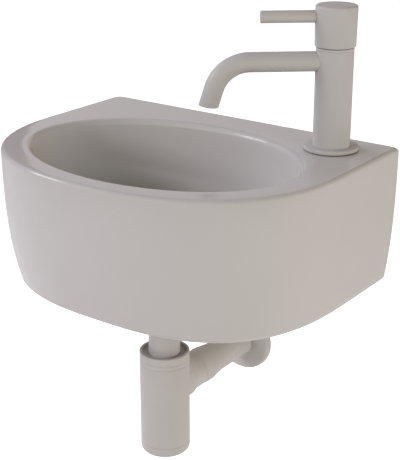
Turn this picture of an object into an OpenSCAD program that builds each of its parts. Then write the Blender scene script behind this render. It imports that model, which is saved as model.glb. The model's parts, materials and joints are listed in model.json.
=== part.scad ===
// Wall-hung hand basin with a deck-mounted cold tap, a strainer waste and a bottle trap.
// Millimetres. The wall is the plane y = 0, the room is towards -y, and z points up.
// The origin is midway between the two wall bolts, in the wall plane.

/* [Basin] */
// Width of the basin along the wall
basin_w = 352; // [320:1:420]
// Depth from the wall to the front
basin_d = 268; // [250:1:320]
// Height from the deck to the bottom edge
basin_h = 139; // [132:1:170]
// Straight part of each side, measured from the wall
side_len = 111; // [70:1:120]
// Fullness of the front curve at the deck, where 2 is an ellipse
front_power = 2.36; // [2.1:0.02:3]
// How much the bottom edge is drawn in at each side
side_taper = 8; // [2:0.5:12]
// How much the bottom edge is drawn in at the front
front_taper = 21; // [8:0.5:24]
// How much the straight sides are shorter at the bottom edge
side_len_taper = 38; // [5:1:45]
// Fullness of the front curve at the bottom edge
foot_power = 2.8; // [2.2:0.02:3]
// How late the fascia turns in, where 1 is a straight slope
taper_power = 2.8; // [2:0.01:5]
// Radius of the outer top edge
edge_r = 4; // [3:0.5:8]
// Radius of the bottom edge
foot_r = 4; // [2:0.5:4.5]
// Radius of the back corners in plan
back_corner_r = 3; // [2:0.5:12]
// Wall thickness of the fascia
skirt_t = 9; // [7:0.5:11]
// Thickness of the back wall
back_t = 12; // [9:0.5:16]
// Thickness of the deck
deck_t = 12; // [9:0.5:16]

/* [Bowl] */
// Rim between the bowl and the side of the basin
side_rim = 32; // [26:0.5:45]
// Rim between the bowl and the front of the basin
front_rim = 21.5; // [20:0.5:35]
// Deck between the bowl and the wall
back_rim = 45; // [42:0.5:70]
// Depth of the bowl below the deck
bowl_depth = 104; // [90:1:106]
// Fullness of the bowl's section, where 2 is an ellipse
bowl_power = 2.7; // [2.2:0.05:3.2]
// Radius of the lip where the bowl meets the deck
lip_r = 6; // [3:0.5:8]
// Wall thickness of the bowl
bowl_t = 7; // [6:0.5:8]
// Thickness of the bowl's floor
floor_t = 14; // [12:0.5:16]

/* [Wall bolts] */
// Distance between the two wall bolts
bolt_spacing = 180; // [120:1:200]
// Distance from the deck down to the bolts
bolt_drop = 70; // [50:1:100]
// Clearance hole in each bush, for a 10 mm hanger bolt
bolt_hole_d = 10.5; // [8.5:0.5:11]
// Diameter of the hole in the ceramic
bush_seat_d = 14; // [13:0.5:18]
// Diameter of the bush's flange
bush_flange_d = 20; // [19:0.5:26]

/* [Tap] */
// Distance of the tap's axis from the side of the basin
tap_side = 51.3; // [46:0.1:60]
// Distance of the tap's axis from the wall
tap_wall = 44; // [42:0.5:60]
// Direction of the spout and the lever, in degrees anticlockwise from the right
tap_turn = 220; // [200:1:250]
// Diameter of the hole in the deck
tap_hole_d = 35; // [32:0.5:36]
// Diameter of the base flange
flange_d = 52.4; // [48:0.2:60]
// Thickness of the base flange
flange_t = 3.4; // [3:0.1:6]
// Thickness of the seal under the flange
tap_seal_t = 0.8; // [0.5:0.1:2]
// Depth of the recess in the flange that holds the body
flange_recess = 1; // [0.5:0.1:2]
// Diameter of the body
body_d = 35.6; // [34.6:0.2:40]
// Height of the body above the deck
body_top = 95.4; // [90:0.1:140]
// Thickness of the slide ring on top of the body
slide_ring_t = 2.6; // [1:0.1:3]
// Diameter of the neck that rises into the knob
neck_d = 31; // [30:0.2:31.6]
// Height of the neck above the body
neck_h = 16.6; // [14:0.1:20]
// Diameter of the chamber that holds the headwork
chamber_d = 24; // [22:0.2:25]
// Depth of the chamber below the top of the body
chamber_depth = 33; // [31:0.5:36]
// Diameter of the water way through the body
waterway_d = 13; // [10:0.5:14]

/* [Spout] */
// Outer diameter of the spout
spout_d = 18.8; // [16:0.2:19.4]
// Wall thickness of the spout
spout_t = 1.6; // [1:0.1:2]
// Distance from the top of the body down to the spout's axis
spout_drop = 10.8; // [10.5:0.1:12]
// Distance from the tap's axis to the start of the bend
spout_straight = 79; // [50:0.2:100]
// Radius of the bend
bend_r = 34.8; // [25:0.1:45]
// Angle of the bend
bend_angle = 73; // [60:1:90]
// Straight end after the bend
spout_tail = 17; // [8.5:0.1:20]
// Depth of the water outlet's insert
insert_len = 6; // [4:0.5:8]
// Diameter of each water hole in the insert
insert_hole_d = 2; // [1.2:0.1:2.4]

/* [Handle] */
// Diameter of the knob at its bottom edge
knob_d = 38.4; // [38:0.2:44]
// How much wider the knob is at its top
knob_flare = 0.9; // [0:0.1:3]
// Gap between the slide ring and the knob
knob_gap = 0.9; // [0.5:0.1:2]
// Wall thickness of the knob around the neck
knob_wall = 2.9; // [2:0.1:3]
// Diameter of the lever pin
lever_d = 11.5; // [8:0.5:14]
// Length of the lever pin, from the tap's axis to its tip
lever_len = 70; // [45:1:90]
// Metal under the lever pin, above the hollow of the knob
lever_under = 0.8; // [0.5:0.1:3]
// Metal over the lever pin, up to the top of the knob
lever_over = 4.9; // [3:0.1:8]
// Depth of the knob's hole for the lever pin, measured from the tap's axis
lever_seat = 12; // [11:0.5:14]
// Diameter of the grub screw that holds the knob on the spindle
grub_d = 5; // [3:0.5:5]
// Length of the grub screw
grub_len = 8; // [5:0.5:10]

/* [Headwork] */
// Height of the headwork's hexagon
hex_h = 6; // [4:0.5:8]
// Distance across the flats of the hexagon
hex_af = 25; // [24.5:0.5:26]
// Diameter of the headwork's cage
cage_d = 20; // [19:0.2:21]
// Diameter of the ceramic discs
disc_d = 17; // [16:0.1:17.4]
// Thickness of each ceramic disc
disc_t = 3.5; // [2.5:0.1:4]
// Thickness of the rubber seat under the discs
seat_t = 2; // [1.5:0.1:3]
// Diameter of the spindle
spindle_d = 9; // [8:0.1:10]
// Diameter of the spindle's splined end
spline_d = 8; // [6:0.1:8.5]
// Free height over the hexagon inside the knob
roof_gap = 1.6; // [1.4:0.1:3]

/* [Tap fixing] */
// Outer diameter of the threaded shank
shank_d = 20.9; // [18:0.1:22]
// Length of the shank below the deck
shank_drop = 45; // [38:1:60]
// Length of the shank inside the body
shank_grip = 17; // [10:1:20]
// Diameter of the washers under the deck
clamp_washer_d = 46; // [38:0.5:50]
// Thickness of the rubber washer under the deck
rubber_washer_t = 3; // [2:0.5:5]
// Thickness of the metal washer under the deck
metal_washer_t = 2; // [1:0.5:3]
// Distance across the flats of the backnut
backnut_af = 32; // [28:0.5:36]
// Thickness of the backnut
backnut_t = 9; // [6:0.5:12]
// Outer diameter of the inlet tail
tail_d = 15; // [12:0.5:16]
// Free length of the inlet tail
tail_len = 40; // [30:1:60]

/* [Waste] */
// Diameter of the strainer's flange
strainer_d = 63; // [58:0.5:64]
// Thickness of the strainer's flange
strainer_t = 2; // [1.5:0.1:3]
// Diameter of the hole through the bowl's floor
waste_hole_d = 46; // [45:0.5:48]
// Depth of the recess in the bowl's floor for the strainer
waste_recess = 2.5; // [1.5:0.1:4]
// Diameter of each hole in the strainer
strainer_hole_d = 5.4; // [4:0.2:6]
// Diameter of the threaded waste tail
waste_thread_d = 41.9; // [40:0.1:42]
// Length of the threaded waste tail
waste_thread_len = 24; // [20:1:40]
// Diameter of the collar under the bowl
waste_collar_d = 58; // [54:0.5:60]
// Diameter of the centre screw
waste_screw_d = 6; // [5:0.5:8]
// Thickness of the seal under the strainer
top_seal_t = 1; // [0.5:0.1:2]
// Thickness of the seal under the bowl
bottom_seal_t = 3; // [2:0.5:5]

/* [Trap] */
// Outer diameter of the waste pipes
pipe_d = 32; // [30:0.5:34]
// Wall thickness of the waste pipes
pipe_t = 1.5; // [1:0.1:2]
// Outer diameter of the trap's cup, ring and cap
cup_d = 50.8; // [50:0.2:60]
// Wall thickness of the cup
cup_t = 2; // [1.5:0.1:3]
// Distance from the deck down to the top of the trap's ring
ring_drop = 208; // [195:1:260]
// Height of the trap's ring
ring_h = 12.5; // [10:0.5:20]
// Height of the cup between its ring and its cap
cup_h = 89; // [80:1:120]
// Height of the bottom cap
cap_h = 11.7; // [9:0.1:20]
// Radius of the cap's bottom edge
cap_edge_r = 6; // [2:0.5:8]
// Distance from the top of the ring down to the outlet's axis
outlet_drop = 43.7; // [38:0.1:60]
// Distance from the bottom of the drop pipe to the cap's floor
dip_gap = 14; // [12:1:30]
// Outer diameter of the nut on the waste tail
inlet_nut_d = 50; // [46:0.5:54]
// Outer diameter of the outlet's nut at its widest
outlet_nut_d = 37.6; // [37.6:0.2:42]
// Length of the outlet's nut
outlet_nut_len = 30; // [26:1:34]
// Length of the cup's side spigot, from the trap's axis
spigot_len = 58; // [52:1:64]
// Outer diameter of the wall rosette
rosette_d = 70; // [60:0.2:80]
// Depth of the wall rosette
rosette_h = 10; // [9:0.5:20]
// Length of pipe that goes into the wall
wall_pipe_len = 35; // [20:1:60]
// Diameter of the pipe end in the wall
wall_pipe_d = 31.6; // [29:0.1:31.8]

/* [Hidden] */
$fn = 72;

// Radial clearance of a fixed joint, and of the turning spindle and discs
fit = 0.05;
run = 0.05;
// Film between the two ceramic discs, and play under the spindle's clip
film = 0.02;
play = 0.1;
// Overrun of every cut past the face it opens
over = 1;
// Room past the end of a pin in a blind hole
end_gap = 0.5;
// Small chamfers on the edges of the tap's metal and of the trap's parts
metal_nick = 0.4;
trap_nick = 0.5;

// Places, worked out from the sizes above
deck_z = bolt_drop;
bowl_w = basin_w - 2 * side_rim;
bowl_d = basin_d - front_rim - back_rim;
bowl_y = -back_rim - bowl_d / 2;
tap_x = basin_w / 2 - tap_side;
tap_y = -tap_wall;

// Colours
ceramic = "Gainsboro";
paint = "Silver";
bare_brass = "Goldenrod";
black_rubber = "DimGray";
bare_steel = "LightSteelBlue";
white_plastic = "WhiteSmoke";

// A ring of rectangular section, from z0 up to z1
module ring(outer, inner, z0, z1) {
    difference() {
        translate([0, 0, z0])
            cylinder(d = outer, h = z1 - z0);
        translate([0, 0, z0 - over])
            cylinder(d = inner, h = z1 - z0 + 2 * over);
    }
}

// A plain rod from z0 up to z1
module rod(d, z0, z1) {
    translate([0, 0, z0])
        cylinder(d = d, h = z1 - z0);
}

// A torus that lies flat, with its section's centre at height z
module o_ring(mean_r, section_r, z) {
    translate([0, 0, z])
        rotate_extrude()
            translate([mean_r, 0])
                circle(r = section_r, $fn = 24);
}

// Points of a quarter round about [x, z], from angle a0 to a1
function arc(x, z, r, a0, a1, steps = 6) =
    [for (i = [0:steps]) let (a = a0 + (a1 - a0) * i / steps) [x + r * cos(a), z + r * sin(a)]];

// Basin: closed rings of points in plan, each at one height below the deck, joined into one skin
front_steps = 44;
side_steps = 5;
corner_steps = 4;
back_steps = 14;
bowl_steps = 11;
round_steps = 4;
skirt_steps = 8;
inner_skirt_steps = 5;
under_bowl_steps = 8;
first_bowl_angle = 86;
// Share of the lip's radius that lies inside the rim line
lip_share = 0.4;
// Depth of the flat cut under the bowl's floor, and room round the parts that seat there
spot_face_cut = 2;
seat_room = 2;
seat_face_depth = bowl_depth + floor_t - spot_face_cut;
seat_face_d = waste_collar_d + 2 * seat_room;
waste_recess_d = strainer_d + seat_room;
waste_seat_z = -bowl_depth - waste_recess;
bowl_a = bowl_w / 2 - lip_share * lip_r;
bowl_b = bowl_d / 2 - lip_share * lip_r;

function signed_power(v, p) = sign(v) * pow(abs(v), p);

// Plan outline, clockwise from the right side: side, front curve, side, corner, back edge, corner
function plan(w, d, s, n, r, y0) = concat(
    [for (i = [0:side_steps - 1]) [w / 2, y0 - r - (s + y0 - r) * i / side_steps]],
    [for (i = [0:front_steps]) let (t = 180 * i / front_steps)
        [w / 2 * signed_power(cos(t), 2 / n), -s - (d - s) * pow(sin(t), 2 / n)]],
    [for (i = [1:side_steps]) [-w / 2, -s + (s + y0 - r) * i / side_steps]],
    [for (i = [1:corner_steps]) let (a = 180 - 90 * i / corner_steps)
        [-w / 2 + r + r * cos(a), y0 - r + r * sin(a)]],
    [for (i = [1:back_steps - 1]) [-w / 2 + r + (w - 2 * r) * i / back_steps, y0]],
    [for (i = [0:corner_steps - 1]) let (a = 90 - 90 * i / corner_steps)
        [w / 2 - r + r * cos(a), y0 - r + r * sin(a)]]
);

// Share of the taper reached at a depth below the deck
function taper_at(depth) = pow(depth / basin_h, taper_power);

// Outline of the fascia at a depth, moved in by an inset at the sides and front and by another at the back
function fascia(depth, inset, back_inset) =
    let (k = taper_at(depth))
    plan(
        basin_w - 2 * side_taper * k - 2 * inset,
        basin_d - front_taper * k - inset,
        side_len - side_len_taper * k,
        front_power + (foot_power - front_power) * k,
        max(back_corner_r - inset, 1),
        -back_inset
    );

function at_height(points, depth) = [for (p = points) [p[0], p[1], deck_z - depth]];

// An ellipse about the bowl's centre, with one point in the direction of each point of the deck's outline
deck_plan = fascia(0, 0, 0);
function oval(a, b) = [for (p = deck_plan)
    let (v = [p[0], p[1] - bowl_y], k = 1 / norm([v[0] / a, v[1] / b]))
        [v[0] * k, bowl_y + v[1] * k]];

// One ring of the bowl's section at an angle, from 90 at the floor to 0 at the rim
function bowl_ring(a, b, top, depth, angle) =
    let (s = pow(cos(angle), 2 / bowl_power), z = top + (depth - top) * pow(sin(angle), 2 / bowl_power))
        at_height(oval(a * s, b * s), z);

outer_a = bowl_a + bowl_t;
outer_b = bowl_b + bowl_t;
outer_depth = bowl_depth + floor_t;
ceiling_angle = asin(pow(deck_t / outer_depth, bowl_power / 2));

basin_rings = concat(
    [for (i = [0:bowl_steps]) bowl_ring(bowl_a, bowl_b, lip_r, bowl_depth, first_bowl_angle * (1 - i / bowl_steps))],
    [for (i = [1:round_steps]) let (q = 90 * i / round_steps)
        at_height(oval(bowl_a + lip_r * (1 - cos(q)), bowl_b + lip_r * (1 - cos(q))), lip_r * (1 - sin(q)))],
    [for (i = [0:round_steps]) let (q = 90 * i / round_steps, inset = edge_r * (1 - sin(q)))
        at_height(fascia(0, inset, inset), edge_r * (1 - cos(q)))],
    [for (i = [1:skirt_steps]) let (depth = edge_r + (basin_h - foot_r - edge_r) * i / skirt_steps)
        at_height(fascia(depth, 0, 0), depth)],
    [for (i = [1:round_steps]) let (q = 90 * i / round_steps, inset = foot_r * (1 - cos(q)))
        at_height(fascia(basin_h, inset, inset), basin_h - foot_r * (1 - sin(q)))],
    [for (i = [0:inner_skirt_steps]) let (depth = basin_h - (basin_h - deck_t) * i / inner_skirt_steps)
        at_height(fascia(depth, skirt_t, back_t), depth)],
    [for (i = [0:under_bowl_steps])
        let (angle = ceiling_angle + (first_bowl_angle - ceiling_angle) * i / under_bowl_steps)
            bowl_ring(outer_a, outer_b, 0, outer_depth, angle)]
);

// Skin through a list of rings with the same number of points, closed by a fan at each end
module skin(rings, first_pole, last_pole) {
    n = len(rings[0]);
    m = len(rings);
    points = concat([for (r = rings) each r], [first_pole, last_pole]);
    sides = [for (j = [0:m - 2], i = [0:n - 1]) let (k = (i + 1) % n)
        each [[j * n + i, j * n + k, (j + 1) * n + i], [j * n + k, (j + 1) * n + k, (j + 1) * n + i]]];
    first = [for (i = [0:n - 1]) [n * m, (i + 1) % n, i]];
    last = [for (i = [0:n - 1]) [n * m + 1, (m - 1) * n + i, (m - 1) * n + (i + 1) % n]];
    polyhedron(points = points, faces = concat(sides, first, last), convexity = 10);
}

module basin() {
    color(ceramic)
        difference() {
            skin(basin_rings, [0, bowl_y, deck_z - bowl_depth], [0, bowl_y, deck_z - outer_depth]);
            translate([0, bowl_y, deck_z]) {
                rod(waste_hole_d, -outer_depth - over, -bowl_depth + over);
                rod(waste_recess_d, waste_seat_z, -lip_r);
                rod(seat_face_d, -outer_depth - over, -seat_face_depth);
            }
            translate([tap_x, tap_y, deck_z])
                rod(tap_hole_d, -deck_t - over, over);
            at_bolts()
                rod(bush_seat_d, -over, back_t + over);
        }
}

// Both wall bolts, with z running from the wall plane towards the room
module at_bolts() {
    for (side = [-1, 1])
        translate([side * bolt_spacing / 2, 0, 0])
            rotate([90, 0, 0])
                children();
}

bush_flange_t = 2;

module wall_bushes() {
    color(white_plastic)
        at_bolts()
            difference() {
                union() {
                    rod(bush_seat_d - 2 * fit, 0, back_t);
                    rod(bush_flange_d, back_t, back_t + bush_flange_t);
                }
                rod(bolt_hole_d, -over, back_t + bush_flange_t + over);
            }
}

// Tap: heights above the deck
foot_z = tap_seal_t + flange_t - flange_recess;
chamber_z = body_top - chamber_depth;
shank_top = foot_z + shank_grip;
neck_top = body_top + neck_h;
spout_z = body_top - spout_drop;
knob_z = body_top + slide_ring_t + knob_gap;
hex_top = neck_top + hex_h;
roof_z = hex_top + roof_gap;
lever_z = roof_z + lever_under + lever_d / 2;
knob_top = lever_z + lever_d / 2 + lever_over;
knob_top_d = knob_d + knob_flare;

// Places what follows on the tap's axis, with x along the spout
module at_tap() {
    translate([tap_x, tap_y, deck_z])
        rotate([0, 0, tap_turn])
            children();
}

// Turns what is drawn along z so that it points along x
module along_x() {
    rotate([0, 90, 0])
        children();
}

// How far the seal's edges stand back from the flange and from the shank
seal_margin = 1.5;

module tap_seal() {
    color(black_rubber)
        at_tap()
            ring(flange_d - 2 * seal_margin, shank_d + 2 * seal_margin, 0, tap_seal_t);
}

flange_edge_r = 1.4;

module tap_flange() {
    color(paint)
        at_tap()
            difference() {
                rotate_extrude()
                    polygon(concat(
                        [
                            [0, tap_seal_t],
                            [flange_d / 2 - metal_nick, tap_seal_t],
                            [flange_d / 2, tap_seal_t + metal_nick]
                        ],
                        arc(flange_d / 2 - flange_edge_r, tap_seal_t + flange_t - flange_edge_r, flange_edge_r, 0, 90),
                        [[0, tap_seal_t + flange_t]]
                    ));
                rod(shank_d + 2 * fit, 0, tap_seal_t + flange_t + over);
                rod(body_d + 2 * fit, foot_z, tap_seal_t + flange_t + over);
            }
}

module tap_body() {
    color(paint)
        at_tap()
            difference() {
                union() {
                    rod(body_d, foot_z, body_top);
                    rod(neck_d, body_top, neck_top);
                }
                rod(shank_d + 2 * fit, foot_z - over, shank_top);
                rod(waterway_d, shank_top - over, chamber_z + over);
                rod(chamber_d, chamber_z, neck_top + over);
                translate([0, 0, spout_z])
                    along_x()
                        rod(spout_d + 2 * fit, 0, body_d);
            }
}

module slide_ring() {
    color(paint)
        at_tap()
            difference() {
                rotate_extrude()
                    polygon([
                        [0, body_top],
                        [body_d / 2 - metal_nick, body_top],
                        [body_d / 2, body_top + metal_nick],
                        [body_d / 2, body_top + slide_ring_t - metal_nick],
                        [body_d / 2 - metal_nick, body_top + slide_ring_t],
                        [0, body_top + slide_ring_t]
                    ]);
                rod(neck_d + 2 * fit, body_top - over, body_top + slide_ring_t + over);
            }
}

// Spout: its inner end stands in the wall of the body, and its outer end is cut a little nearer to level
spout_root_wall = 1.5;
spout_root = chamber_d / 2 + spout_root_wall;

// Places what follows at the end of the bend, with x along the flow
module at_bend_end() {
    translate([spout_straight + bend_r * sin(bend_angle), 0, spout_z - bend_r * (1 - cos(bend_angle))])
        rotate([0, bend_angle, 0])
            children();
}

// Stations along the spout's axis: [x, height above the deck, downward slope of the axis, turn of the cut]
tip_cut = 9;
bend_steps = 14;
tip_x = spout_straight + bend_r * sin(bend_angle) + spout_tail * cos(bend_angle);
tip_z = spout_z - bend_r * (1 - cos(bend_angle)) - spout_tail * sin(bend_angle);
spout_stations = concat(
    [[spout_root, spout_z, 0, 0]],
    [for (i = [0:bend_steps]) let (a = bend_angle * i / bend_steps)
        [spout_straight + bend_r * sin(a), spout_z - bend_r * (1 - cos(a)), a, 0]],
    [[tip_x, tip_z, bend_angle, tip_cut]]
);

// Points round one station, where the tube meets a plane that is square to the axis but for the turn
spout_sides = 48;
function station_ring(s, r) = [for (i = [0:spout_sides - 1])
    let (a = 360 * i / spout_sides, lift = r * cos(a) / cos(s[3]), lean = s[2] + s[3])
        [s[0] + lift * sin(lean), r * sin(a), s[1] + lift * cos(lean)]];

// Outside of the tube from root to tip, then its bore from tip to root
last_station = len(spout_stations) - 1;
spout_rings = concat(
    [for (s = spout_stations) station_ring(s, spout_d / 2)],
    [for (i = [0:last_station]) station_ring(spout_stations[last_station - i], spout_d / 2 - spout_t)]
);

// Skin through a closed loop of rings with the same number of points
module tube_skin(rings) {
    n = len(rings[0]);
    m = len(rings);
    sides = [for (j = [0:m - 1], i = [0:n - 1]) let (k = (i + 1) % n, next = (j + 1) % m)
        each [[j * n + i, j * n + k, next * n + i], [j * n + k, next * n + k, next * n + i]]];
    polyhedron(points = [for (r = rings) each r], faces = sides, convexity = 10);
}

module spout() {
    color(paint)
        at_tap()
            tube_skin(spout_rings);
}

// Outlet insert: it stands back from the spout's end, on a seal, and has two rings of holes round a middle one
insert_recess = 2.2;
insert_seal_t = 1.5;
insert_seal_bore_d = 12;
insert_edge = 1.2;
bore_d = spout_d - 2 * spout_t;
insert_back = spout_tail - insert_recess - insert_len;

module outlet_insert() {
    pitch = ((bore_d - insert_hole_d) / 2 - insert_edge) / 2;
    color(white_plastic)
        at_tap()
            at_bend_end()
                along_x()
                    difference() {
                        rod(bore_d - 2 * fit, insert_back, insert_back + insert_len);
                        for (row = [0, 1, 2], i = [0:max(6 * row, 1) - 1])
                            rotate([0, 0, 60 / max(row, 1) * i])
                                translate([pitch * row, 0, 0])
                                    rod(insert_hole_d, 0, spout_tail + over);
                    }
}

module outlet_seal_ring() {
    color(black_rubber)
        at_tap()
            at_bend_end()
                along_x()
                    ring(bore_d - 2 * fit, insert_seal_bore_d, insert_back - insert_seal_t, insert_back);
}

// Handle: the knob is hollow over the neck, and solid above, where it takes the spindle and the lever
knob_edge_r = 1.2;
stub_d = 6;
stub_root = 8;
grub_under = 1;
grub_key_af = 2.5;
grub_z = roof_z + grub_under + grub_d / 2;
spindle_top = lever_z;

module handle_knob() {
    color(paint)
        at_tap()
            difference() {
                rotate_extrude()
                    polygon(concat(
                        [[0, knob_z], [knob_d / 2 - metal_nick, knob_z], [knob_d / 2, knob_z + metal_nick]],
                        arc(knob_top_d / 2 - knob_edge_r, knob_top - knob_edge_r, knob_edge_r, 0, 90),
                        [[0, knob_top]]
                    ));
                rod(knob_d - 2 * knob_wall, knob_z - over, roof_z);
                rod(spline_d + 2 * fit, roof_z - over, spindle_top + end_gap);
                translate([0, 0, lever_z])
                    along_x() {
                        rod(lever_d + 2 * fit, lever_seat, knob_top_d);
                        rod(stub_d + 2 * fit, stub_root - end_gap, lever_seat + over);
                    }
                translate([0, 0, grub_z])
                    along_x()
                        rod(grub_d + 2 * fit, -knob_top_d, 0);
            }
}

module lever_pin() {
    color(paint)
        at_tap()
            translate([0, 0, lever_z])
                along_x() {
                    rod(stub_d, stub_root, lever_seat);
                    rotate_extrude()
                        polygon([
                            [0, lever_seat], [lever_d / 2, lever_seat], [lever_d / 2, lever_len - metal_nick],
                            [lever_d / 2 - metal_nick, lever_len], [0, lever_len]
                        ]);
                }
}

module grub_screw() {
    tip = spline_d / 2 + fit;
    color(bare_steel)
        at_tap()
            translate([0, 0, grub_z])
                rotate([0, -90, 0])
                    difference() {
                        rod(grub_d, tip, tip + grub_len);
                        translate([0, 0, tip + grub_len - grub_d / 2])
                            cylinder(d = grub_key_af / cos(30), h = grub_d, $fn = 6);
                    }
}

// Headwork: a brass cage with two ceramic discs that open over a quarter turn
cage_z = chamber_z + seat_t;
disc_bore_d = disc_d + 2 * run;
fixed_disc_top = cage_z + disc_t;
moving_disc_z = fixed_disc_top + film;
moving_disc_top = moving_disc_z + disc_t;
spindle_foot_t = 2.8;
spindle_foot_w = 8;
disc_bore_top = moving_disc_top + spindle_foot_t;
cage_room_top = body_top;
cage_roof_t = 2;
plug_z = cage_room_top + cage_roof_t;
cage_step = 1.5;
clip_t = 0.9;
clip_z = hex_top + play;
clip_groove_d = spindle_d - 1.6;

module headwork_body() {
    window_h = 14;
    window_w = 9;
    window_sill = 2;
    color(bare_brass)
        at_tap()
            difference() {
                union() {
                    rod(cage_d, cage_z, plug_z);
                    rod(chamber_d - 2 * fit, plug_z, neck_top);
                    translate([0, 0, neck_top])
                        cylinder(d = hex_af / cos(30), h = hex_h, $fn = 6);
                }
                rod(disc_bore_d, cage_z - over, disc_bore_top);
                rod(disc_bore_d - 2 * cage_step, disc_bore_top - over, cage_room_top);
                rod(spindle_d + 2 * run, cage_room_top - over, hex_top + over);
                for (turn = [0, 90])
                    rotate([0, 0, turn])
                        translate([-cage_d, -window_w / 2, disc_bore_top + window_sill])
                            cube([2 * cage_d, window_w, window_h]);
            }
}

module headwork_seat() {
    color(black_rubber)
        at_tap()
            ring(disc_d + 1, waterway_d, chamber_z, cage_z);
}

disc_rim = 1.5;
disc_hub_d = 4;

// A disc with two openings opposite each other, each a quarter of the circle
module slotted_disc(z0, z1, turn) {
    difference() {
        rod(disc_d, z0, z1);
        rotate([0, 0, turn])
            for (side = [0, 180])
                rotate([0, 0, side])
                    intersection() {
                        ring(disc_d - 2 * disc_rim, disc_hub_d, z0 - over, z1 + over);
                        translate([0, 0, z0 - over])
                            cube([disc_d, disc_d, z1 - z0 + 2 * over]);
                    }
    }
}

module fixed_disc() {
    color("White")
        at_tap()
            slotted_disc(cage_z, fixed_disc_top, 0);
}

module moving_disc() {
    color("White")
        at_tap()
            slotted_disc(moving_disc_z, moving_disc_top, 90);
}

// Spindle: a flat-sided foot on the moving disc, two seal grooves, a clip groove and a splined end
seal_groove_depth = 1.2;
seal_groove_w = 1.4;
seal_inset = 2;
seal_pitch = 4;
seal_groove_r = spindle_d / 2 - seal_groove_depth;
seal_z = [plug_z + seal_inset, plug_z + seal_inset + seal_pitch];
spindle_shoulder_z = clip_z + clip_t + 0.2;

module spindle() {
    color(bare_brass)
        at_tap()
            difference() {
                union() {
                    intersection() {
                        rod(disc_d, moving_disc_top, disc_bore_top - film);
                        translate([-disc_d / 2, -spindle_foot_w / 2, moving_disc_top])
                            cube([disc_d, spindle_foot_w, spindle_foot_t]);
                    }
                    rod(spindle_d, disc_bore_top - film - over, spindle_shoulder_z);
                    rod(spline_d, spindle_shoulder_z - over, spindle_top);
                }
                for (z = seal_z)
                    ring(spindle_d + over, 2 * seal_groove_r, z - seal_groove_w / 2, z + seal_groove_w / 2);
                ring(spindle_d + over, clip_groove_d, clip_z, clip_z + clip_t);
            }
}

module spindle_seals() {
    section_r = (spindle_d / 2 - seal_groove_r) / 2;
    color(black_rubber)
        at_tap()
            for (z = seal_z)
                o_ring(seal_groove_r + section_r, section_r, z);
}

module spindle_clip() {
    clip_d = 13;
    mouth = 3;
    color(bare_steel)
        at_tap()
            difference() {
                ring(clip_d, clip_groove_d, clip_z, clip_z + clip_t);
                translate([0, -mouth / 2, clip_z - over])
                    cube([clip_d, mouth, clip_t + 2 * over]);
            }
}

// Tap fixing: depths below the deck
washer_z = -deck_t - rubber_washer_t;
nut_z = washer_z - metal_washer_t;

module threaded_shank() {
    color(bare_brass)
        at_tap()
            ring(shank_d, waterway_d, -shank_drop, shank_top);
}

module centring_bush() {
    hole_gap = 0.2;
    color(white_plastic)
        at_tap()
            ring(tap_hole_d - 2 * hole_gap, shank_d + 2 * fit, -deck_t + end_gap, -end_gap);
}

module rubber_washer() {
    color(black_rubber)
        at_tap()
            ring(clamp_washer_d, shank_d + 2 * fit, washer_z, -deck_t);
}

module metal_washer() {
    color(bare_steel)
        at_tap()
            ring(clamp_washer_d, shank_d + 2 * fit, nut_z, washer_z);
}

module backnut() {
    color(bare_brass)
        at_tap()
            difference() {
                translate([0, 0, nut_z - backnut_t])
                    cylinder(d = backnut_af / cos(30), h = backnut_t, $fn = 6);
                rod(shank_d + 2 * fit, nut_z - backnut_t - over, nut_z + over);
            }
}

tail_collar_t = 3;
tail_collar_d = shank_d - 1;
tail_grip = 14;
tail_bore_d = waterway_d - 4;

module inlet_tail() {
    tail_top_z = -shank_drop - tail_collar_t;
    color(bare_brass)
        at_tap()
            difference() {
                union() {
                    rod(waterway_d - 2 * fit, -shank_drop, -shank_drop + tail_grip);
                    rod(tail_collar_d, tail_top_z, -shank_drop);
                    rod(tail_d, tail_top_z - tail_len, tail_top_z);
                }
                rod(tail_bore_d, tail_top_z - tail_len - over, -shank_drop + tail_grip + over);
            }
}

// Waste and trap: heights above the deck, on the bowl's axis
flange_bottom_z = waste_seat_z + top_seal_t;
strainer_top_z = flange_bottom_z + strainer_t;
plate_t = 1.5;
plate_drop = 5;
plate_z = flange_bottom_z - plate_drop;
strainer_neck_d = waste_hole_d - 2;
strainer_bevel = 2;
// Radii of the two rings of strainer holes
hole_rows = [8.7, 14.9];
collar_z = -seat_face_depth - bottom_seal_t;
collar_t = 5;
waste_end_z = collar_z - collar_t - waste_thread_len;
waste_wall = 3;
waste_bore_d = waste_thread_d - 2 * waste_wall;
// The cross in the waste body that takes the centre screw
bridge_z = waste_end_z + waste_thread_len / 2;
bridge_t = 5;
bridge_w = 3;
bridge_root = 0.5;
slot_w = 1.4;
slot_depth = 1.2;

// Places what follows on the bowl's axis
module at_waste() {
    translate([0, bowl_y, deck_z])
        children();
}

module waste_strainer() {
    color(paint)
        at_waste()
            difference() {
                rotate_extrude()
                    polygon([
                        [0, plate_z],
                        [strainer_neck_d / 2 - strainer_bevel, plate_z],
                        [strainer_neck_d / 2, plate_z + strainer_bevel],
                        [strainer_neck_d / 2, flange_bottom_z],
                        [strainer_d / 2, flange_bottom_z],
                        [strainer_d / 2, flange_bottom_z + strainer_t / 2],
                        [strainer_d / 2 - strainer_bevel / 2, strainer_top_z],
                        [strainer_neck_d / 2 - strainer_bevel / 2, strainer_top_z],
                        [strainer_neck_d / 2 - 2 * strainer_bevel, plate_z + plate_t],
                        [0, plate_z + plate_t]
                    ]);
                rod(waste_screw_d + 2 * fit, plate_z - over, strainer_top_z);
                for (row = [0, 1])
                    let (count = 8 + 3 * row)
                        for (i = [0:count - 1])
                            rotate([0, 0, 360 / count * i])
                                translate([hole_rows[row], 0, 0])
                                    rod(strainer_hole_d, plate_z - over, plate_z + plate_t + over);
            }
}

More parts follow.
